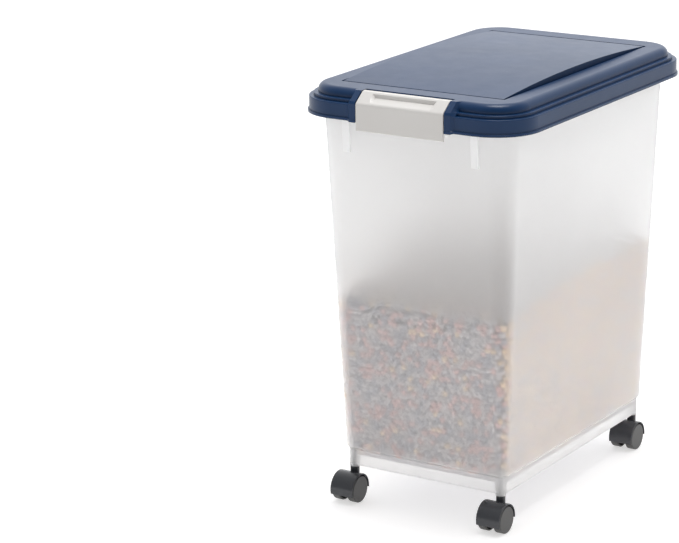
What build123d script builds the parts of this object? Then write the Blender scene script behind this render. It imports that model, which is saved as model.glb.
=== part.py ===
from build123d import *
import math
import os

# Pet food bin on casters. Millimetres. +Z up, the floor is z = 0, the latch faces -Y.
# The origin is on the floor under the middle of the bin.

# Driving dimensions of the tub
FOOT_WIDTH = 197.4
FOOT_LENGTH = 321.4
FOOT_CORNER_R = 9.0
FOOT_BOTTOM_Z = 40.4
STEP_Z = 58.4
STEP_OUT = 2.8
WALL = 2.2
FLOOR_Z = 52.4
WALL_TOP_WIDTH = 233.3
WALL_TOP_LENGTH = 372.4
WALL_TOP_CORNER_R = 27.2
SKIRT_BOTTOM_Z = 440.0
RIM_TOP_Z = 456.0
FLANGE_Z = 451.5
FLANGE_THICKNESS = 2.5
LIP_BOTTOM_Z = 443.0
LIP_GAP = 5.5

# Driving dimensions of the lid
LID_WIDTH = 272.7
LID_LENGTH = 411.6
LID_CORNER_R = 50.0
BEAD_OUT = 1.5
BEAD_HEIGHT = 3.0
LEDGE_1_Z = 457.5
LEDGE_2_Z = 461.0
PLATEAU_Z = 471.0
LEDGE_1_IN = 6.5
LEDGE_2_IN = 11.5
SHOULDER_R = 8.0
PANEL_WIDTH = 193.7
PANEL_LENGTH = 319.8
PANEL_RISE = 6.5
GROOVE_WIDTH = 2.2
GROOVE_DEPTH = 1.3

# Driving dimensions of the seal
GASKET_WIDTH = 5.6
GASKET_GAP = 0.3
GASKET_TOP_Z = 460.0
RIB = 1.6

# Driving dimensions of the notch in the lid and the cheeks beside it
NOTCH_HALF = 53.7
NOTCH_BACK_Y = -183.8
CHEEK = 7.0
CHEEK_BLEND = 4.0
CHEEK_FACE_Y = -207.4
CHEEK_FOLD = 1.3
CHEEK_BACK_Y = -183.0
CHEEK_ROOT_Y = -192.0
CHEEK_INNER_Y = -201.8
CHEEK_INNER_Z = 455.6
CHEEK_LOW_Z = 439.2
CHEEK_BEAD = 0.6

# Driving dimensions of the latch
LATCH_HALF = 52.75
LATCH_FRONT_Y = -208.0
LATCH_BOTTOM_Z = 430.7
LATCH_PIVOT_Y = -189.2
LATCH_PIVOT_Z = 466.8
LATCH_BARREL_R = 4.0
LATCH_PLATE = 2.6
LATCH_STRIP_Y = -193.5
LATCH_SLOPE = 0.76
LATCH_FOLD_R = 3.8
LATCH_EDGE_R = 0.9
LATCH_PIN_R = 1.5
RECESS_FLOOR_HALF = 34.8
RECESS_TOP_HALF = 38.6
RECESS_BACK_Y = -195.5
RECESS_BACK_DEPTH = 4.1
RECESS_FLOOR_SLOPE = 0.37
RECESS_REACH = 1.3
HOOK_HALF = 24.0
RUNNING_GAP = 0.05

# Driving dimensions of the ribs under the flange, on the front wall
GUSSET_X = 77.9
GUSSET_WIDTH = 8.7
GUSSET_DEPTH = 3.4
GUSSET_BOTTOM_Z = 401.0
GUSSET_EDGE_R = 1.2

# Driving dimensions of the lid hinge
HINGE_Y = 205.3
HINGE_Z = 441.5
HINGE_R = 3.5
HINGE_PIN_R = 1.6
HINGE_X = 75.0
KNUCKLE_HALF = 7.0
LUG_WIDTH = 5.6
LUG_GAP = 0.4

# Driving dimensions of a caster
STEM_INSET_X = 6.5
STEM_INSET_Y = 5.7
SOCKET_R = 5.6
SOCKET_TIP = 3.0
SOCKET_TOP_Z = 66.0
STEM_UPPER_R = 3.95
STEM_LOWER_R = 2.5
STEM_TOP_Z = 63.0
STEM_BOTTOM_Z = 20.5
STEM_CHAMFER = 0.8
CASTER_TRAIL = 11.3
WHEEL_R = 14.9
WHEEL_INNER_X = 4.8
WHEEL_OUTER_X = 14.1
WHEEL_RIM = 1.8
WHEEL_EDGE_R = 0.9
WHEEL_DISC = 2.2
HUB_R = 3.6
HOOD_HALF = 14.2
HOOD_R = 18.0
HOOD_SHELL = 1.3
HOOD_EDGE_R = 0.6
HOOD_WEB_HALF = 4.2
HOOD_FRONT_Z = 10.2
HOOD_BACK_Z = 13.5
NECK_R = 5.1
NECK_TOP_Z = 36.9
AXLE_R = 1.5
AXLE_HALF = 12.6

CORNERS = {"fl": (-1, -1), "fr": (1, -1), "bl": (-1, 1), "br": (1, 1)}
SIDES = {"left": -1, "right": 1}


def slab(width, length, corner_r, low, high):
    """An upright prism on a rounded rectangle."""
    outline = Plane.XY.offset(low) * RectangleRounded(width, length, corner_r)
    return extrude(outline, high - low)


def block(x_range, y_range, z_range):
    """A box between two values on each axis."""
    spans = (x_range, y_range, z_range)
    middle = [(low + high) / 2 for low, high in spans]
    size = [high - low for low, high in spans]
    return Pos(*middle) * Box(*size)


def side_prism(points, x_low, x_high):
    """A prism along X on a polygon of (y, z) points."""
    outline = make_face(Polyline(*[(x_low, y, z) for y, z in points], close=True))
    return extrude(outline, x_high - x_low, dir=(1, 0, 0))


def rod(radius, x_low, x_high, y, z):
    """A round bar along X."""
    bar = Cylinder(radius, x_high - x_low, rotation=(0, 90, 0))
    return Pos((x_low + x_high) / 2, y, z) * bar


# --- tub ---------------------------------------------------------------------------------------

def wall_section(z, inset=0.0):
    """The tub wall's outline at height z, moved in by inset: (width, length, corner radius)."""
    low = (FOOT_WIDTH + 2 * STEP_OUT, FOOT_LENGTH + 2 * STEP_OUT, FOOT_CORNER_R + STEP_OUT)
    high = (WALL_TOP_WIDTH, WALL_TOP_LENGTH, WALL_TOP_CORNER_R)
    share = (z - STEP_Z) / (SKIRT_BOTTOM_Z - STEP_Z)
    width, length, corner_r = [a + (b - a) * share for a, b in zip(low, high)]
    return width - 2 * inset, length - 2 * inset, corner_r - inset


def wall_loft(low, high, inset):
    """The tapered solid inside the wall's outline between two heights."""
    ends = [Plane.XY.offset(z) * RectangleRounded(*wall_section(z, inset)) for z in (low, high)]
    return loft(ends, ruled=True)


def tub_step():
    """The bevel where the wall steps in to the foot."""
    bevel = STEP_OUT - 0.3
    foot = RectangleRounded(FOOT_WIDTH + 0.6, FOOT_LENGTH + 0.6, FOOT_CORNER_R + 0.3)
    wall = RectangleRounded(*wall_section(STEP_Z + bevel))
    return loft([Plane.XY.offset(STEP_Z) * foot, Plane.XY.offset(STEP_Z + bevel) * wall], ruled=True)


def rim_flange():
    """The flange round the rim with its turned-down lip."""
    width, length = LID_WIDTH - 2 * LIP_GAP, LID_LENGTH - 2 * LIP_GAP
    corner_r = LID_CORNER_R - LIP_GAP
    top_z = FLANGE_Z + FLANGE_THICKNESS
    flange = slab(width, length, corner_r, LIP_BOTTOM_Z, top_z)
    flange = fillet(flange.edges().group_by(Axis.Z)[-1], 1.0)
    inner = slab(width - 2 * WALL, length - 2 * WALL, corner_r - WALL, LIP_BOTTOM_Z - 1, FLANGE_Z)
    return flange - inner


def catch_bevel():
    """The wedge cut from the lip's lower edge that the latch hook slides over."""
    lip_y = -(LID_LENGTH / 2 - LIP_GAP)
    rise = (WALL + 0.2) * math.tan(math.radians(30))
    low_z = LIP_BOTTOM_Z - 0.05
    points = [(lip_y - 0.2, low_z), (lip_y + WALL, low_z), (lip_y - 0.2, low_z + rise)]
    return side_prism(points, -HOOK_HALF - 4, HOOK_HALF + 4)


def gusset(x):
    """A short upright rib that holds the flange up, on the front wall, with rounded edges."""
    low_z = GUSSET_BOTTOM_Z
    wall_y = -wall_section(FLANGE_Z)[1] / 2
    low_y = -wall_section(low_z)[1] / 2
    points = [(wall_y + 1, FLANGE_Z + 0.5), (wall_y - GUSSET_DEPTH, FLANGE_Z + 0.5),
              (low_y - GUSSET_DEPTH, low_z), (low_y + 1, low_z)]
    rib = side_prism(points, x - GUSSET_WIDTH / 2, x + GUSSET_WIDTH / 2)
    front = rib.faces().sort_by(Axis.Y)[0]
    return fillet([edge for edge in front.edges() if edge.center().Z < FLANGE_Z], GUSSET_EDGE_R)


def stem_xy(corner):
    """Where a caster's stem stands."""
    sign_x, sign_y = CORNERS[corner]
    return sign_x * (FOOT_WIDTH / 2 - STEM_INSET_X), sign_y * (FOOT_LENGTH / 2 - STEM_INSET_Y)


def upright(radius, low, high, x, y):
    """A round bar along Z."""
    return Pos(x, y, (low + high) / 2) * Cylinder(radius, high - low)


def hinge_lugs(side):
    """The two lugs of one hinge, on the lip at the back."""
    lugs = []
    lip_y = LID_LENGTH / 2 - LIP_GAP
    near = KNUCKLE_HALF + LUG_GAP
    for sign in (-1, 1):
        ends = sorted(side * HINGE_X + sign * offset for offset in (near, near + LUG_WIDTH))
        web = block(ends, (lip_y - WALL, HINGE_Y), (HINGE_Z - HINGE_R, HINGE_Z + HINGE_R))
        lugs.append(web + rod(HINGE_R, *ends, HINGE_Y, HINGE_Z))
    return lugs


def bin_shell():
    """The tub, from the foot ring to the rim, with sockets, gussets and hinge lugs."""
    inner_foot = (FOOT_WIDTH - 2 * WALL, FOOT_LENGTH - 2 * WALL, FOOT_CORNER_R - WALL)
    floor_top = FLOOR_Z + WALL
    cavity_step = STEP_Z + WALL
    solid = slab(FOOT_WIDTH, FOOT_LENGTH, FOOT_CORNER_R, FOOT_BOTTOM_Z, STEP_Z + 1)
    solid += tub_step()
    solid += wall_loft(STEP_Z + STEP_OUT - 0.3, RIM_TOP_Z, 0)
    solid += rim_flange()
    for side in SIDES.values():
        solid += gusset(side * GUSSET_X)
        for lug in hinge_lugs(side):
            solid += lug
    solid -= wall_loft(cavity_step, RIM_TOP_Z + 1, WALL)
    solid -= slab(*inner_foot, floor_top, cavity_step + 0.5)
    solid -= slab(*inner_foot, FOOT_BOTTOM_Z - 1, FLOOR_Z)
    for corner in CORNERS:
        solid += upright(SOCKET_R, FOOT_BOTTOM_Z - SOCKET_TIP, SOCKET_TOP_Z, *stem_xy(corner))
    for corner in CORNERS:
        solid -= upright(STEM_UPPER_R + RUNNING_GAP, FOOT_BOTTOM_Z - SOCKET_TIP - 1,
                         STEM_TOP_Z + 0.5, *stem_xy(corner))
    for side in SIDES.values():
        reach = KNUCKLE_HALF + LUG_GAP + LUG_WIDTH + 1
        solid -= rod(HINGE_PIN_R + 0.02, side * HINGE_X - reach, side * HINGE_X + reach, HINGE_Y, HINGE_Z)
    return solid - catch_bevel()


def hinge_pin(side):
    """The pin through two lugs and a knuckle."""
    half = KNUCKLE_HALF + LUG_GAP + LUG_WIDTH - 0.3
    return rod(HINGE_PIN_R, side * HINGE_X - half, side * HINGE_X + half, HINGE_Y, HINGE_Z)


# --- lid ---------------------------------------------------------------------------------------

def lid_slab(inset, low, high, top_fillet=0.0):
    """A slab inside the lid's outline, with its top edge rounded if asked."""
    solid = slab(LID_WIDTH - 2 * inset, LID_LENGTH - 2 * inset, LID_CORNER_R - inset, low, high)
    if top_fillet:
        solid = fillet(solid.edges().group_by(Axis.Z)[-1], top_fillet)
    return solid


def arched_block(width, length, top_z, base_z, rise):
    """A block whose top is an arch along Y, rise higher at mid-length than at its ends."""
    half = length / 2
    x = -width / 2
    crown = ThreePointArc((x, -half, top_z), (x, 0, top_z + rise), (x, half, top_z))
    sides = Polyline((x, half, top_z), (x, half, base_z), (x, -half, base_z), (x, -half, top_z))
    return extrude(make_face([crown, sides]), width, dir=(1, 0, 0))


def lid_outside():
    """Everything inside the lid's outer surface."""
    solid = lid_slab(BEAD_OUT, SKIRT_BOTTOM_Z, LEDGE_1_Z, 1.0)
    solid += lid_slab(0, SKIRT_BOTTOM_Z, SKIRT_BOTTOM_Z + BEAD_HEIGHT, 0.8)
    solid += lid_slab(LEDGE_1_IN, LEDGE_1_Z - 1, LEDGE_2_Z, 0.8)
    solid += lid_slab(LEDGE_2_IN, LEDGE_2_Z - 1, PLATEAU_Z, SHOULDER_R)
    return solid + arched_block(PANEL_WIDTH, PANEL_LENGTH, PLATEAU_Z, PLATEAU_Z - 2, PANEL_RISE)


def lid_inside():
    """The hollow under the lid's skin."""
    solid = lid_slab(BEAD_OUT + WALL, SKIRT_BOTTOM_Z - 1, LEDGE_1_Z - WALL)
    solid += lid_slab(LEDGE_1_IN + WALL, LEDGE_1_Z - WALL - 1, LEDGE_2_Z - WALL)
    solid += lid_slab(LEDGE_2_IN + WALL, LEDGE_2_Z - WALL - 1, PLATEAU_Z - WALL, SHOULDER_R - WALL)
    return solid + arched_block(PANEL_WIDTH - 2 * WALL, PANEL_LENGTH - 2 * WALL, PLATEAU_Z - WALL,
                                PLATEAU_Z - WALL - 2, PANEL_RISE)


def panel_groove():
    """The narrow groove round the arched panel."""
    low = PLATEAU_Z - GROOVE_DEPTH
    outer = block((-PANEL_WIDTH / 2 - GROOVE_WIDTH, PANEL_WIDTH / 2 + GROOVE_WIDTH),
                  (-PANEL_LENGTH / 2 - GROOVE_WIDTH, PANEL_LENGTH / 2 + GROOVE_WIDTH),
                  (low, PLATEAU_Z + 1))
    inner = block((-PANEL_WIDTH / 2, PANEL_WIDTH / 2), (-PANEL_LENGTH / 2, PANEL_LENGTH / 2),
                  (low - 1, PLATEAU_Z + 2))
    return outer - inner


def rim_ring(inner_offset, outer_offset, low, high):
    """A ring that follows the tub's rim, between two offsets from the wall's middle line."""
    width, length, corner_r = wall_section(RIM_TOP_Z, WALL / 2)
    outer, inner = [slab(width + 2 * offset, length + 2 * offset, corner_r + offset, low, high)
                    for offset in (outer_offset, inner_offset)]
    return outer - inner


def seal_channel():
    """The ring-shaped channel under the lid that holds the gasket."""
    half = GASKET_WIDTH / 2 + 0.2
    rib_bottom = RIM_TOP_Z + 1.0
    roof = rim_ring(-half - RIB, half + RIB, GASKET_TOP_Z, GASKET_TOP_Z + 2)
    inner_rib = rim_ring(-half - RIB, -half, rib_bottom, PLATEAU_Z - WALL + 0.5)
    outer_rib = rim_ring(half, half + RIB, rib_bottom, GASKET_TOP_Z + 1)
    return roof + inner_rib + outer_rib


def cheek_face_outline():
    """The outer outline of a cheek, as (y, z) points from the plateau down to the bead."""
    bead_z = SKIRT_BOTTOM_Z + BEAD_HEIGHT
    middle_y = (LATCH_STRIP_Y + CHEEK_FACE_Y) / 2
    fold_y = CHEEK_FACE_Y + CHEEK_FOLD
    return [(CHEEK_BACK_Y, PLATEAU_Z), (LATCH_STRIP_Y, PLATEAU_Z),
            (middle_y, PLATEAU_Z - (LATCH_STRIP_Y - middle_y) * LATCH_SLOPE),
            (fold_y, PLATEAU_Z - (LATCH_STRIP_Y - fold_y) * LATCH_SLOPE),
            (CHEEK_FACE_Y, PLATEAU_Z - (LATCH_STRIP_Y - fold_y) * LATCH_SLOPE - 2 * CHEEK_FOLD),
            (CHEEK_FACE_Y, bead_z - 0.4), (CHEEK_FACE_Y - CHEEK_BEAD, bead_z - 1.0),
            (CHEEK_FACE_Y - CHEEK_BEAD, CHEEK_LOW_Z)]


def skirt_outline():
    """The same outline as the skirt and the ledges have it, a little inside their surfaces."""
    sink = 0.2
    bead_z = SKIRT_BOTTOM_Z + BEAD_HEIGHT
    skirt_y = -LID_LENGTH / 2 + BEAD_OUT + sink
    ledge_y = -LID_LENGTH / 2 + LEDGE_1_IN + sink
    shoulder_y = -LID_LENGTH / 2 + LEDGE_2_IN + sink
    return [(CHEEK_BACK_Y, PLATEAU_Z - 0.5), (shoulder_y + SHOULDER_R - 1, PLATEAU_Z - 0.5),
            (shoulder_y, LEDGE_2_Z + sink), (ledge_y, LEDGE_2_Z - sink), (skirt_y, LEDGE_1_Z - 0.3),
            (skirt_y, bead_z - 0.4), (-LID_LENGTH / 2 + 0.3, bead_z - 1.0),
            (-LID_LENGTH / 2 + 0.3, CHEEK_LOW_Z + 1)]


def cheek(side):
    """One thick cheek beside the latch, blended into the skirt on its far side, with the skirt's bead."""
    root_z = PLATEAU_Z - SHOULDER_R
    inner = [(CHEEK_INNER_Y, CHEEK_LOW_Z), (CHEEK_INNER_Y, CHEEK_INNER_Z), (CHEEK_ROOT_Y, CHEEK_INNER_Z),
             (CHEEK_ROOT_Y, root_z), (CHEEK_BACK_Y, root_z)]
    near, far = NOTCH_HALF * side, (NOTCH_HALF + CHEEK) * side
    face = cheek_face_outline() + inner
    body = side_prism(face, min(near, far), max(near, far))
    ends = []
    for x, outline in ((far, face), (far + CHEEK_BLEND * side, skirt_outline() + inner)):
        ends.append(make_face(Polyline(*[(x, y, z) for y, z in outline], close=True)))
    return body + loft(ends, ruled=True)


def notch():
    """The space cut from the lid for the latch, in front of and above the seal channel."""
    span = (-NOTCH_HALF, NOTCH_HALF)
    channel_y = -(wall_section(RIM_TOP_Z, WALL / 2)[1] / 2 + GASKET_WIDTH / 2 + 0.2 + RIB)
    front = block(span, (-LID_LENGTH / 2 - 5, channel_y), (SKIRT_BOTTOM_Z - 2, PLATEAU_Z + 2))
    above = block(span, (channel_y - 1, NOTCH_BACK_Y), (GASKET_TOP_Z + 2, PLATEAU_Z + 2))
    return front + above


def hinge_knuckle(side):
    """The lid's knuckle of one hinge."""
    ends = (side * HINGE_X - KNUCKLE_HALF, side * HINGE_X + KNUCKLE_HALF)
    skirt_inner_y = LID_LENGTH / 2 - BEAD_OUT - WALL
    web = block(ends, (skirt_inner_y, HINGE_Y + 0.5), (HINGE_Z, HINGE_Z + 6.5))
    return web + rod(HINGE_R, *ends, HINGE_Y, HINGE_Z)


def hinge_window(side):
    """The space cut from the skirt for the bin's lugs."""
    half = KNUCKLE_HALF + LUG_GAP + LUG_WIDTH + LUG_GAP
    return block((side * HINGE_X - half, side * HINGE_X + half),
                 (LID_LENGTH / 2 - LIP_GAP + 0.4, LID_LENGTH / 2 + 1), (SKIRT_BOTTOM_Z - 1, HINGE_Z + 5))


def lid_shell():
    """The lid's skin with its channel, notch, cheeks and knuckles."""
    solid = lid_outside() - lid_inside() - panel_groove()
    solid += seal_channel()
    solid -= notch()
    solid += block((-NOTCH_HALF - 1, NOTCH_HALF + 1), (NOTCH_BACK_Y, NOTCH_BACK_Y + WALL),
                   (GASKET_TOP_Z + 1, PLATEAU_Z - 0.5))
    for side in SIDES.values():
        solid += cheek(side)
        solid -= hinge_window(side)
        solid += hinge_knuckle(side)
        solid -= rod(HINGE_PIN_R + RUNNING_GAP, side * HINGE_X - 9, side * HINGE_X + 9, HINGE_Y, HINGE_Z)
    solid -= rod(LATCH_PIN_R + 0.02, -NOTCH_HALF - 5.4, NOTCH_HALF + 5.4, LATCH_PIVOT_Y, LATCH_PIVOT_Z)
    return solid


def lid_gasket():
    """The soft ring that closes on the rim."""
    half = GASKET_WIDTH / 2
    ring = rim_ring(-half, half, RIM_TOP_Z + GASKET_GAP, GASKET_TOP_Z)
    return ring


def latch_pin(side):
    """A short pin between a cheek and the latch's barrel."""
    ends = sorted((side * (LATCH_HALF - 7.0), side * (NOTCH_HALF + 5.0)))
    return rod(LATCH_PIN_R, *ends, LATCH_PIVOT_Y, LATCH_PIVOT_Z)


# --- latch -------------------------------------------------------------------------------------

def latch_hook():
    """The hook on the plate's inner face, with a top parallel to the lip's bevel."""
    lip_y = -(LID_LENGTH / 2 - LIP_GAP)
    tip_y = lip_y + 1.8
    tip_z = LIP_BOTTOM_Z - 0.5
    plate_y = LATCH_FRONT_Y + LATCH_PLATE - 0.2
    rise = (tip_y - plate_y) * math.tan(math.radians(30))
    points = [(tip_y, tip_z), (plate_y, tip_z + rise), (plate_y, 436.5), (tip_y, tip_z - 2.4)]
    return side_prism(points, -HOOK_HALF, HOOK_HALF)


def slope_z(y):
    """The height of the latch's sloped top at y."""
    return LATCH_PIVOT_Z + LATCH_BARREL_R - (LATCH_STRIP_Y - y) * LATCH_SLOPE


def thumb_recess():
    """The space cut from the sloped top: a floor with a steep back, and ends that lean outwards. The
    ends run on a little above the slope, so that they cut right through it."""
    front_y = LATCH_FRONT_Y + 0.5
    high_z = LATCH_PIVOT_Z + LATCH_BARREL_R + 3
    back_z = slope_z(RECESS_BACK_Y) - RECESS_BACK_DEPTH
    front_z = back_z - (RECESS_BACK_Y - front_y) * RECESS_FLOOR_SLOPE
    floor = [(RECESS_BACK_Y, high_z), (RECESS_BACK_Y, back_z), (front_y, front_z), (front_y, high_z)]
    rim = [(RECESS_BACK_Y, high_z), (RECESS_BACK_Y, back_z + RECESS_BACK_DEPTH * RECESS_REACH),
           (front_y, front_z), (front_y, high_z)]
    rim_half = RECESS_FLOOR_HALF + (RECESS_TOP_HALF - RECESS_FLOOR_HALF) * RECESS_REACH
    recess = side_prism(floor, -RECESS_FLOOR_HALF, RECESS_FLOOR_HALF)
    for side in SIDES.values():
        ends = []
        for half, outline in ((RECESS_FLOOR_HALF, floor), (rim_half, rim)):
            ends.append(make_face(Polyline(*[(side * half, y, z) for y, z in outline], close=True)))
        recess += loft(ends, ruled=True)
    return recess


def on_latch_outside(edge):
    """Whether an edge bounds the latch's outer face, at its ends or along its bottom."""
    middle = edge.center()
    at_end = abs(abs(middle.X) - LATCH_HALF) < 0.01
    top = middle.Z > LATCH_PIVOT_Z + LATCH_BARREL_R - 0.3
    slope = middle.Y < LATCH_STRIP_Y and middle.Z > slope_z(middle.Y) - 1.2
    front = middle.Y < LATCH_FRONT_Y + 0.01
    return (at_end and (top or slope or front)) or (front and middle.Z < LATCH_BOTTOM_Z + 0.1)


def latch_body():
    """The latch: barrel, flat strip, sloped top with a thumb recess, fold, front plate and hook."""
    top_z = LATCH_PIVOT_Z + LATCH_BARREL_R
    plate_y = LATCH_FRONT_Y + LATCH_PLATE
    points = [(LATCH_PIVOT_Y, top_z), (LATCH_STRIP_Y, top_z), (LATCH_FRONT_Y, slope_z(LATCH_FRONT_Y)),
              (LATCH_FRONT_Y, LATCH_BOTTOM_Z), (plate_y, LATCH_BOTTOM_Z), (plate_y, 455.3),
              (-203.5, 456.8), (-190.4, LATCH_PIVOT_Z - 0.2)]
    solid = side_prism(points, -LATCH_HALF, LATCH_HALF)
    long_edges = solid.edges().filter_by(Axis.X)
    solid = fillet([edge for edge in long_edges
                    if edge.center().Y < LATCH_FRONT_Y + 0.1 and edge.center().Z > 457], LATCH_FOLD_R)
    solid = fillet([edge for edge in solid.edges().filter_by(Axis.X)
                    if abs(edge.center().Y - LATCH_STRIP_Y) < 0.1 and edge.center().Z > top_z - 1], 3.0)
    solid = fillet([edge for edge in solid.edges() if on_latch_outside(edge)], LATCH_EDGE_R)
    solid += rod(LATCH_BARREL_R, -LATCH_HALF, LATCH_HALF, LATCH_PIVOT_Y, LATCH_PIVOT_Z)
    solid = solid - thumb_recess() + latch_hook()
    for side in SIDES.values():
        ends = sorted((side * (LATCH_HALF - 7.4), side * (LATCH_HALF + 1)))
        solid -= rod(LATCH_PIN_R + RUNNING_GAP, *ends, LATCH_PIVOT_Y, LATCH_PIVOT_Z)
    return solid


# --- casters -----------------------------------------------------------------------------------

def caster_stem(x, y):
    """The stepped steel stem: its wide end sits in the tub's socket, its narrow end in the hood."""
    shoulder_z = FOOT_BOTTOM_Z - SOCKET_TIP + 0.2
    upper = upright(STEM_UPPER_R, shoulder_z, STEM_TOP_Z, x, y)
    upper = chamfer(upper.edges().group_by(Axis.Z)[-1], STEM_CHAMFER)
    return upper + upright(STEM_LOWER_R, STEM_BOTTOM_Z, shoulder_z, x, y)


def below_hood(x, axle_y):
    """The space cut from under the hood, higher at the back than at the front."""
    far = HOOD_R + 2
    points = [(axle_y - far, HOOD_FRONT_Z), (axle_y + 4, HOOD_FRONT_Z), (axle_y + far, HOOD_BACK_Z + 0.5),
              (axle_y + far, -5), (axle_y - far, -5)]
    return side_prism(points, x - HOOD_HALF - 1, x + HOOD_HALF + 1)


def caster_hood(x, y):
    """The hood over both wheels, with its web, its neck and the bores for the stem and the axle."""
    axle_y = y - CASTER_TRAIL
    solid = rod(HOOD_R, x - HOOD_HALF, x + HOOD_HALF, axle_y, WHEEL_R)
    solid = fillet(solid.edges().filter_by(GeomType.CIRCLE), HOOD_EDGE_R)
    solid += upright(HOOD_WEB_HALF, 17.0, NECK_TOP_Z, x, y)
    solid += upright(NECK_R, 24.0, NECK_TOP_Z, x, y)
    for sign in (-1, 1):
        ends = sorted((x + sign * HOOD_WEB_HALF, x + sign * (HOOD_HALF + 1)))
        solid -= rod(HOOD_R - HOOD_SHELL, *ends, axle_y, WHEEL_R)
    solid -= below_hood(x, axle_y)
    solid -= upright(STEM_LOWER_R + RUNNING_GAP, STEM_BOTTOM_Z - 0.5, NECK_TOP_Z + 1, x, y)
    return solid - rod(AXLE_R + 0.02, x - 6, x + 6, axle_y, WHEEL_R)


def caster_axle(x, y):
    """The axle pin that carries both wheels."""
    return rod(AXLE_R, x - AXLE_HALF, x + AXLE_HALF, y - CASTER_TRAIL, WHEEL_R)


def caster_wheel(x, y, sign):
    """One wheel: a tread with a flat outer face, hollow on its inner side round a hub."""
    axle_y = y - CASTER_TRAIL

    def span(near, far):
        return sorted((x + sign * near, x + sign * far))

    solid = rod(WHEEL_R, *span(WHEEL_INNER_X, WHEEL_OUTER_X), axle_y, WHEEL_R)
    solid = fillet(solid.edges().filter_by(GeomType.CIRCLE), WHEEL_EDGE_R)
    hollow = rod(WHEEL_R - WHEEL_RIM, *span(WHEEL_INNER_X - 1, WHEEL_OUTER_X - WHEEL_DISC), axle_y, WHEEL_R)
    hub = rod(HUB_R, *span(WHEEL_INNER_X, WHEEL_OUTER_X), axle_y, WHEEL_R)
    bore = rod(AXLE_R + RUNNING_GAP, *span(WHEEL_INNER_X - 1, AXLE_HALF + 0.3), axle_y, WHEEL_R)
    return solid - (hollow - hub) - bore


def build():
    """Every sub-part by node name."""
    parts = {"bin_shell": bin_shell(), "lid_shell": lid_shell(), "lid_gasket": lid_gasket(),
             "latch_body": latch_body()}
    for name, side in SIDES.items():
        parts[f"hinge_pin_{name}"] = hinge_pin(side)
        parts[f"latch_pin_{name}"] = latch_pin(side)
    for corner in CORNERS:
        place = stem_xy(corner)
        parts[f"caster_{corner}_stem"] = caster_stem(*place)
        parts[f"caster_{corner}_hood"] = caster_hood(*place)
        parts[f"caster_{corner}_axle"] = caster_axle(*place)
        parts[f"caster_{corner}_wheel_l"] = caster_wheel(*place, -1)
        parts[f"caster_{corner}_wheel_r"] = caster_wheel(*place, 1)
    return parts


os.makedirs("parts", exist_ok=True)
for node, shape in build().items():
    export_step(shape, f"parts/{node}.step")
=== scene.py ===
import math
import random

import bmesh
import bpy
from mathutils import Euler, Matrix, Quaternion, Vector, noise
from mathutils.bvhtree import BVHTree


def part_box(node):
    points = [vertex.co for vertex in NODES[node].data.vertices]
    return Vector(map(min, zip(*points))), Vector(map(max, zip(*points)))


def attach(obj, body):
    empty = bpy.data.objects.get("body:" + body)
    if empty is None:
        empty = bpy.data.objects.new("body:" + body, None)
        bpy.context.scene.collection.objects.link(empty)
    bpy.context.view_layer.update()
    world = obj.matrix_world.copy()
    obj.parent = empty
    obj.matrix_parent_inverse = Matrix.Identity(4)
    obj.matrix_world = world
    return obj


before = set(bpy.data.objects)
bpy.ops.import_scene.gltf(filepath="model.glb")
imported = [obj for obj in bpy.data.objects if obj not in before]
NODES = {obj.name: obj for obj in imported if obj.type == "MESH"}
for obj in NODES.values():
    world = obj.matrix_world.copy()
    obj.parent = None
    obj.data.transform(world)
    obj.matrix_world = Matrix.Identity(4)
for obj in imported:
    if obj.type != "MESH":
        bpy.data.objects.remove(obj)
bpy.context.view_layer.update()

# The looks of a pet food bin, in metres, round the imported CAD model.
MM = 0.001

# Camera: angles in degrees, the target in metres
LENS_MM = 142.76
SENSOR_MM = 36.0
CAMERA_AZIMUTH = 32.81
CAMERA_ELEVATION = 15.86
CAMERA_ROLL = -0.80
CAMERA_DISTANCE = 3.0017
CAMERA_TARGET = Vector((-0.1488, -0.0934, 0.2365))

# Surround: how bright it is from the side away from BRIGHT_SIDE (0) to that side (1)
BRIGHT_SIDE = (-0.6, 1.0, 0.25)
SURROUND = 1.41
SURROUND_TINT = (0.965, 0.98, 1.0)
SURROUND_GREYS = ((0.0, 0.12), (0.4, 0.35), (0.64, 0.52), (1.0, 1.0))

# Lamps: place, width in metres, power in watts and colour
RIGHT_LAMP = ((2.5, 0.4, 1.3), 1.4, 1.2, (1.0, 0.78, 0.58))
TOP_LAMP = ((0.1, 0.0, 2.6), 0.9, 34, (1.0, 1.0, 1.0))
LAMP_AIM = (0, 0, 0.25)

# Floor: part of its white is its own light, as on a light table
FLOOR_WIDTH = 16
FLOOR_GREY = 0.72
FLOOR_GLOW = 0.56
FLOOR_GLOW_TINT = (1.0, 0.99, 0.98)

# Frosted plastic
FROSTED_ROUGH = (0.54, 0.60)
PLASTIC_IOR = 1.45
THROUGH_WALL = (0.95, 0.95, 0.95)

# Ribs under the rim on the front wall: milkier plastic with a painted glow
RIB_X = 77.9 * MM
RIB_HALF = 4.5 * MM
RIB_LOW_Z = 401.0 * MM
RIB_HIGH_Z = 451.4 * MM
RIB_ROOT_Y = -184.2 * MM
WALL_LEAN = -0.0588

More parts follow.
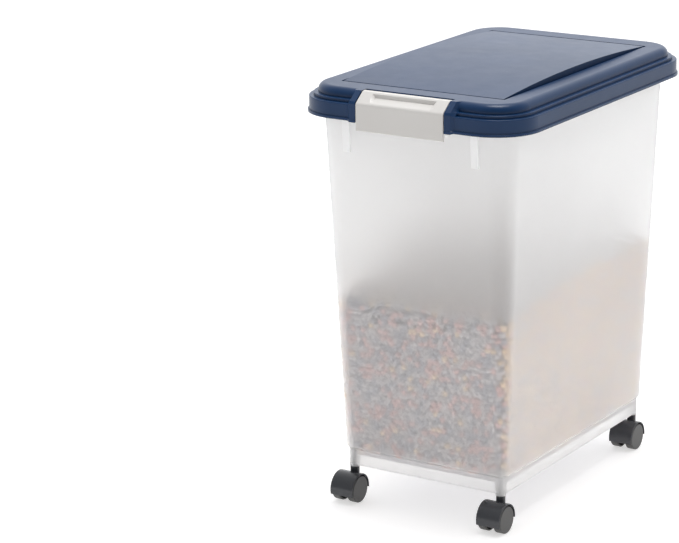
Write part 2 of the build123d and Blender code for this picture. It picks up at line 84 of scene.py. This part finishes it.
# Food inside: its level starts at FOOD_FRONT_Z and swells by up to FOOD_RISE towards the back
FOOD_FRONT_Z = 0.212
FOOD_RISE = 0.040
FOOD_CREST = 0.68
FOOD_STEEPNESS = 0.6
INSIDE_TUB = Vector((0, 0, 0.3))
WALL_GAP = 0.5 * MM
CORNER_GAP = 7 * MM
KIBBLE_STEP = 6.9 * MM
KIBBLE_HALF = (4.1 * MM, 3.8 * MM, 3.1 * MM)
SIZE_SPREAD = (0.86, 1.14)
LUMPINESS = 0.22
LUMP_SCALE = 1.4
NOISE_REACH = 50
WALL_SCATTER = 0.22
WALL_ROW = 0.86
HEAP_ROW = 0.85
HEAP_SPREAD = (0.85, 1.1)
HEAP_SINK = 2 * MM
HEAP_SWELL = 5 * MM
SWELL_SCALE = 16
HEAP_JITTER = MM
CORE_DEPTH = 4.5 * MM
CORE_TOP_DEPTH = 3 * MM
CORE_TURNS = 96
CORE_ROWS = 10
FOOD_SEED = 7

# How much of each food there is at the ends, at the sides and on top. The sides get mostly the
# light tan food and the ends mostly the brown, red and dark ones: painted light on the side walls
# and painted shade on the end walls
END_SHARES_PAINTED_SHADE = (0.05, 0.43, 0.24, 0.28)
SIDE_SHARES_PAINTED_LIGHT = (0.61, 0.05, 0.20, 0.14)
HEAP_SHARES = (0.25, 0.58, 0.11, 0.06)


class Shader:
    """A node material built step by step."""

    def __init__(self, name):
        self.material = bpy.data.materials.new(name)
        self.material.use_nodes = True
        self.tree = self.material.node_tree
        self.bsdf = self.tree.nodes["Principled BSDF"]
        self.coords = self.add("ShaderNodeTexCoord").outputs["Object"]

    def add(self, kind):
        """Adds a node."""
        return self.tree.nodes.new(kind)

    def link(self, source, target):
        """Joins two sockets."""
        self.tree.links.new(source, target)

    def set(self, **values):
        """Sets the shader's own sockets."""
        for key, value in values.items():
            self.bsdf.inputs[key.replace("_", " ")].default_value = value
        return self

    def noise(self, scale, detail=3.0, roughness=0.5):
        """Noise in the object's own space."""
        made = self.add("ShaderNodeTexNoise")
        made.inputs["Scale"].default_value = scale
        made.inputs["Detail"].default_value = detail
        made.inputs["Roughness"].default_value = roughness
        self.link(self.coords, made.inputs["Vector"])
        return made.outputs["Fac"]

    def colours(self, source, dark, light, low=0.35, high=0.65):
        """Spreads the base colour from dark to light as the source goes from low to high."""
        made = self.add("ShaderNodeValToRGB")
        stops = ((low, dark), (high, light))
        for element, (place, colour) in zip(made.color_ramp.elements, stops):
            element.position = place
            element.color = (*colour, 1.0)
        self.link(source, made.inputs["Fac"])
        self.link(made.outputs["Color"], self.bsdf.inputs["Base Color"])

    def roughness(self, source, low, high):
        """Spreads the roughness from low to high."""
        made = self.add("ShaderNodeMapRange")
        made.inputs["To Min"].default_value = low
        made.inputs["To Max"].default_value = high
        self.link(source, made.inputs["Value"])
        self.link(made.outputs["Result"], self.bsdf.inputs["Roughness"])

    def bump(self, source, height):
        """Raises the surface by up to the height."""
        made = self.add("ShaderNodeBump")
        made.inputs["Strength"].default_value = 1.0
        made.inputs["Distance"].default_value = height
        self.link(source, made.inputs["Height"])
        self.link(made.outputs["Normal"], self.bsdf.inputs["Normal"])

    def let_light_in(self, tint):
        """Lets light from the lamps and from the surround reach what the material shuts in."""
        clear = self.add("ShaderNodeBsdfTransparent")
        clear.inputs["Color"].default_value = (*tint, 1.0)
        path = self.add("ShaderNodeLightPath")
        surface = self.bsdf.outputs["BSDF"]
        for kind in ("Is Shadow Ray", "Is Diffuse Ray"):
            mix = self.add("ShaderNodeMixShader")
            self.link(path.outputs[kind], mix.inputs[0])
            self.link(surface, mix.inputs[1])
            self.link(clear.outputs["BSDF"], mix.inputs[2])
            surface = mix.outputs["Shader"]
        self.link(surface, self.tree.nodes["Material Output"].inputs["Surface"])


def moulded(name, dark, light, rough):
    """Moulded plastic: slow colour drift, uneven gloss and a fine spark-eroded grain."""
    shader = Shader(name)
    shader.colours(shader.noise(9.0, 4.0), dark, light)
    shader.roughness(shader.noise(60.0, 5.0), *rough)
    shader.bump(shader.noise(2600.0, 2.0), 0.02 * MM)
    return shader


def frosted_plastic(name, milkiness, dark, light, glow=0.0):
    """Milky translucent plastic. Milkiness is the share of light that it scatters straight back,
    and glow is a painted glow: the surface gives off light like a lamp, so a thick part looks
    brighter."""
    shader = Shader(name)
    shader.colours(shader.noise(6.0, 3.0), dark, light)
    shader.roughness(shader.noise(40.0, 4.0), *FROSTED_ROUGH)
    shader.bump(shader.noise(1800.0, 2.0), 0.01 * MM)
    # the emission is a painted glow: light given off by a part that is no lamp
    shader.set(Transmission_Weight=1.0 - milkiness, IOR=PLASTIC_IOR, Emission_Strength=glow)
    shader.let_light_in(THROUGH_WALL)
    return shader.material


def steel():
    """Plain turned steel."""
    shader = Shader("steel")
    shader.colours(shader.noise(300.0), (0.50, 0.50, 0.51), (0.62, 0.62, 0.63), 0.3, 0.7)
    shader.roughness(shader.noise(500.0), 0.22, 0.34)
    shader.set(Metallic=1.0)
    return shader.material


def kibble_material(name, dark, light):
    """One colour of baked food: speckled, matt and rough."""
    shader = Shader(name)
    shader.colours(shader.noise(420.0, 5.0, 0.65), dark, light, 0.30, 0.70)
    shader.roughness(shader.noise(500.0), 0.62, 0.85)
    shader.bump(shader.noise(1100.0, 4.0), 0.35 * MM)
    return shader.material


NAVY = moulded("navy_plastic", (0.002, 0.026, 0.086), (0.004, 0.032, 0.102),
               (0.30, 0.38)).set(Specular_IOR_Level=0.32).material
OFF_WHITE = moulded("off_white_plastic", (0.655, 0.63, 0.603), (0.693, 0.672, 0.646),
                    (0.36, 0.44)).material
BLACK = moulded("black_plastic", (0.042, 0.044, 0.050), (0.055, 0.057, 0.064),
                (0.18, 0.26)).material
WHEEL_GREY = moulded("wheel_plastic", (0.060, 0.060, 0.059), (0.077, 0.077, 0.075),
                     (0.40, 0.50)).material
SEAL = moulded("seal_rubber", (0.60, 0.60, 0.58), (0.66, 0.66, 0.64), (0.7, 0.8)).material
FROSTED = frosted_plastic("frosted_plastic", 0.14, (0.89, 0.885, 0.88), (0.93, 0.925, 0.92))
# the ribs' plastic is milkier and has a painted glow, light of its own though it is no lamp
FROSTED_RIB_WITH_GLOW = frosted_plastic("frosted_rib_with_glow", 0.60, (0.95, 0.945, 0.94), (0.97, 0.965, 0.96),
                              glow=0.06)
STEEL = steel()
FOODS = [kibble_material("kibble_tan", (0.78, 0.52, 0.30), (0.93, 0.70, 0.46)),
         kibble_material("kibble_brown", (0.49, 0.445, 0.445), (0.62, 0.575, 0.575)),
         kibble_material("kibble_red", (0.62, 0.34, 0.31), (0.77, 0.46, 0.42)),
         kibble_material("kibble_dark", (0.31, 0.30, 0.345), (0.41, 0.40, 0.445))]


# --- materials on the CAD nodes ----------------------------------------------------------------

def node_material(node):
    """The material of a CAD node."""
    if "wheel" in node:
        return WHEEL_GREY
    if node.endswith("hood"):
        return BLACK
    named = {"bin_shell": FROSTED, "lid_shell": NAVY, "lid_gasket": SEAL, "latch_body": OFF_WHITE}
    return named.get(node, STEEL)


def whiten_and_glow_ribs(mesh):
    """Gives the two ribs on the front wall milkier plastic and a painted glow, so that they look
    brighter than the wall.
    """
    mesh.materials.append(FROSTED_RIB_WITH_GLOW)
    for face in mesh.polygons:
        x, y, z = face.center
        on_rib = abs(abs(x) - RIB_X) < RIB_HALF and RIB_LOW_Z - MM < z < RIB_HIGH_Z
        if on_rib and y < RIB_ROOT_Y + (z - RIB_LOW_Z) * WALL_LEAN:
            face.material_index = 1


def dress_nodes():
    """Gives every CAD node its material."""
    for node in NODES:
        mesh = NODES[node].data
        mesh.materials.clear()
        mesh.materials.append(node_material(node))
    whiten_and_glow_ribs(NODES["bin_shell"].data)


# --- food --------------------------------------------------------------------------------------

def tub_tree():
    """The tub's surface, for finding its inner wall."""
    mesh = NODES["bin_shell"].data
    corners = [vertex.co for vertex in mesh.vertices]
    faces = [tuple(face.vertices) for face in mesh.polygons]
    return BVHTree.FromPolygons(corners, faces)


def wall_distance(tree, start, way):
    """How far the tub's inner wall is from a point inside."""
    return (tree.ray_cast(start, way)[0] - start).length


def food_level(y, length):
    """The mean height of the food: it climbs from the front and sinks a little at the back."""
    share = min(max(y / length + 0.5, 0.0), 1.0)
    return FOOD_FRONT_Z + FOOD_RISE * math.sin(math.pi * FOOD_CREST * share ** FOOD_STEEPNESS)


def make_ball():
    """The corners and faces of a ball of 24 faces."""
    mesh = bmesh.new()
    bmesh.ops.create_cube(mesh, size=2.0)
    bmesh.ops.subdivide_edges(mesh, edges=mesh.edges, cuts=1, use_grid_fill=True)
    corners = [vertex.co.normalized() for vertex in mesh.verts]
    faces = [tuple(vertex.index for vertex in face.verts) for face in mesh.faces]
    mesh.free()
    return corners, faces


BALL_CORNERS, BALL_FACES = make_ball()


def kibble_shape(rng):
    """One rounded, slightly lumpy piece, as corner vectors from its middle."""
    turn = Euler([rng.uniform(0, math.tau) for _ in range(3)]).to_matrix()
    size = [half * rng.uniform(*SIZE_SPREAD) for half in KIBBLE_HALF]
    seed = Vector([rng.uniform(-NOISE_REACH, NOISE_REACH) for _ in range(3)])
    shape = []
    for corner in BALL_CORNERS:
        lump = 1 + LUMPINESS * noise.noise(corner * LUMP_SCALE + seed)
        shape.append(turn @ Vector([c * half * lump for c, half in zip(corner, size)]))
    return shape


def add_inside(name, data):
    """Puts a mesh in the scene as a piece that moves with the bin."""
    piece = bpy.data.objects.new(name, data)
    bpy.context.scene.collection.objects.link(piece)
    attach(piece, "bin")


def add_kibbles(name, places, shares, rng):
    """A mesh of loose pieces. A place is (point, outward way or None): with a way, the piece's
    outermost corner just reaches the point."""
    corners, faces, tints = [], [], []
    for point, outward in places:
        shape = kibble_shape(rng)
        if outward is not None:
            point = point - outward * max(corner.dot(outward) for corner in shape)
        first = len(corners)
        corners.extend(point + corner for corner in shape)
        faces.extend(tuple(first + index for index in face) for face in BALL_FACES)
        tints.extend([rng.choices(range(len(FOODS)), shares)[0]] * len(BALL_FACES))
    data = bpy.data.meshes.new(name)
    data.from_pydata(corners, [], faces)
    for material in FOODS:
        data.materials.append(material)
    data.polygons.foreach_set("material_index", tints)
    data.shade_smooth()
    add_inside(name, data)


def wall_places(tree, out, across, floor_z, length, rng):
    """Places for the pieces that press against the inside of two facing walls. Out is the way to
    one of the walls, and across is the way along it."""
    places = []
    row = 0
    z = floor_z + KIBBLE_HALF[0]
    while z < FOOD_FRONT_Z + FOOD_RISE:
        for way in (-out, out):
            half = wall_distance(tree, Vector((0, 0, z)), across) - CORNER_GAP
            place = -half + (row % 2) * KIBBLE_STEP / 2
            while place < half:
                shift = place + rng.uniform(-WALL_SCATTER, WALL_SCATTER) * KIBBLE_STEP
                height = z + rng.uniform(-WALL_SCATTER, WALL_SCATTER) * KIBBLE_STEP
                start = across * shift + Vector((0, 0, height))
                reach = wall_distance(tree, start, way)
                point = start + way * (reach - WALL_GAP)
                if height < food_level(point.y, length) - KIBBLE_HALF[2]:
                    places.append((point, way))
                place += KIBBLE_STEP
        row += 1
        z += KIBBLE_STEP * WALL_ROW
    return places


def heap_places(tree, length, rng):
    """Places for the pieces that lie on top."""
    places = []
    y = -length / 2
    while y < length / 2:
        level = food_level(y, length)
        side = wall_distance(tree, Vector((0, 0, level)), Vector((1, 0, 0))) - CORNER_GAP
        x = -side + rng.uniform(0, KIBBLE_STEP)
        while x < side:
            to_end = Vector((0, math.copysign(1, y), 0))
            end = wall_distance(tree, Vector((x, 0, level)), to_end) - CORNER_GAP
            if abs(y) < end:
                swell = noise.noise(Vector((x, y, 0)) * SWELL_SCALE) * HEAP_SWELL
                z = level - HEAP_SINK + swell + rng.uniform(-1, 1) * HEAP_JITTER
                places.append((Vector((x, y, z)), None))
            x += KIBBLE_STEP * rng.uniform(*HEAP_SPREAD)
        y += KIBBLE_STEP * HEAP_ROW
    return places


def add_food_core(tree, floor_z, length):
    """The dark inside of the heap, just behind the loose pieces."""
    mesh = bmesh.new()
    low_z = floor_z + MM
    grid = []
    for row in range(CORE_ROWS + 1):
        line = []
        for turn in range(CORE_TURNS):
            angle = math.tau * turn / CORE_TURNS
            way = Vector((math.cos(angle), math.sin(angle), 0))
            top_z = food_level(way.y * length / 2, length) - CORE_DEPTH - CORE_TOP_DEPTH
            start = Vector((0, 0, low_z + (top_z - low_z) * row / CORE_ROWS))
            reach = wall_distance(tree, start, way) - CORE_DEPTH
            line.append(mesh.verts.new(start + way * reach))
        grid.append(line)
    for lower, upper in zip(grid, grid[1:]):
        for turn in range(CORE_TURNS):
            after = (turn + 1) % CORE_TURNS
            mesh.faces.new((lower[turn], lower[after], upper[after], upper[turn]))
    mesh.faces.new(grid[-1])
    mesh.faces.new(reversed(grid[0]))
    data = bpy.data.meshes.new("kibble_core")
    mesh.to_mesh(data)
    mesh.free()
    data.materials.append(FOODS[-1])
    add_inside("kibble_core", data)


def add_food():
    """The food that shows through the walls."""
    rng = random.Random(FOOD_SEED)
    tree = tub_tree()
    low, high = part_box("bin_shell")
    length = high.y - low.y
    floor_z = tree.ray_cast(INSIDE_TUB, Vector((0, 0, -1)))[0].z + WALL_GAP
    right, back = Vector((1, 0, 0)), Vector((0, 1, 0))
    add_food_core(tree, floor_z, length)
    sides = wall_places(tree, right, back, floor_z, length, rng)
    # the side walls get a lighter, warmer mix of food: painted light
    add_kibbles("kibble_sides", sides, SIDE_SHARES_PAINTED_LIGHT, rng)
    ends = wall_places(tree, back, right, floor_z, length, rng)
    # the end walls get a darker, cooler mix of food: painted shade
    add_kibbles("kibble_ends", ends, END_SHARES_PAINTED_SHADE, rng)
    add_kibbles("kibble_heap", heap_places(tree, length, rng), HEAP_SHARES, rng)


# --- studio ------------------------------------------------------------------------------------

def add_camera():
    """The camera at the photograph's angle."""
    data = bpy.data.cameras.new("camera")
    data.lens = LENS_MM
    data.sensor_width = SENSOR_MM
    camera = bpy.data.objects.new("camera", data)
    bpy.context.scene.collection.objects.link(camera)
    azimuth, elevation = math.radians(CAMERA_AZIMUTH), math.radians(CAMERA_ELEVATION)
    back = Vector((math.sin(azimuth) * math.cos(elevation),
                   -math.cos(azimuth) * math.cos(elevation),
                   math.sin(elevation)))
    camera.location = CAMERA_TARGET + back * CAMERA_DISTANCE
    camera.rotation_mode = "QUATERNION"
    camera.rotation_quaternion = ((-back).to_track_quat("-Z", "Y")
                                  @ Quaternion((0, 0, 1), math.radians(CAMERA_ROLL)))
    bpy.context.scene.camera = camera


def add_lamp(name, place, size, power, colour):
    """A soft square studio lamp."""
    data = bpy.data.lights.new(name, "AREA")
    data.shape = "SQUARE"
    data.size = size
    data.energy = power
    data.color = colour
    lamp = bpy.data.objects.new(name, data)
    lamp.location = place
    lamp.rotation_euler = (Vector(LAMP_AIM) - Vector(place)).to_track_quat("-Z", "Y").to_euler()
    bpy.context.scene.collection.objects.link(lamp)


def add_floor():
    """A plain pale floor that is lit from below like a light table."""
    bpy.ops.mesh.primitive_plane_add(size=FLOOR_WIDTH)
    floor = bpy.context.object
    floor.name = "floor"
    shader = Shader("floor")
    shader.set(Base_Color=(FLOOR_GREY, FLOOR_GREY, FLOOR_GREY, 1.0), Roughness=0.7,
               Specular_IOR_Level=0.1, Emission_Color=(*FLOOR_GLOW_TINT, 1.0),
               Emission_Strength=FLOOR_GLOW)
    floor.data.materials.append(shader.material)


def add_surround():
    """A white surround, bright behind the object and dim in front of it."""
    world = bpy.data.worlds.new("surround")
    world.use_nodes = True
    nodes, links = world.node_tree.nodes, world.node_tree.links
    way = nodes.new("ShaderNodeTexCoord")
    toward = nodes.new("ShaderNodeVectorMath")
    toward.operation = "DOT_PRODUCT"
    toward.inputs[1].default_value = Vector(BRIGHT_SIDE).normalized()
    place = nodes.new("ShaderNodeMapRange")
    place.inputs["From Min"].default_value = -1.0
    ramp = nodes.new("ShaderNodeValToRGB")
    while len(ramp.color_ramp.elements) < len(SURROUND_GREYS):
        ramp.color_ramp.elements.new(0.5)
    for element, (spot, grey) in zip(ramp.color_ramp.elements, SURROUND_GREYS):
        element.position = spot
        element.color = (*(grey * part for part in SURROUND_TINT), 1.0)
    links.new(way.outputs["Generated"], toward.inputs[0])
    links.new(toward.outputs["Value"], place.inputs["Value"])
    links.new(place.outputs["Result"], ramp.inputs["Fac"])
    links.new(ramp.outputs["Color"], nodes["Background"].inputs["Color"])
    nodes["Background"].inputs["Strength"].default_value = SURROUND
    bpy.context.scene.world = world


def add_studio():
    """The floor, the surround and two soft lamps."""
    add_floor()
    add_surround()
    add_lamp("right", *RIGHT_LAMP)
    add_lamp("top", *TOP_LAMP)
    bpy.context.scene.view_settings.view_transform = "Standard"


add_camera()
add_studio()
dress_nodes()
add_food()
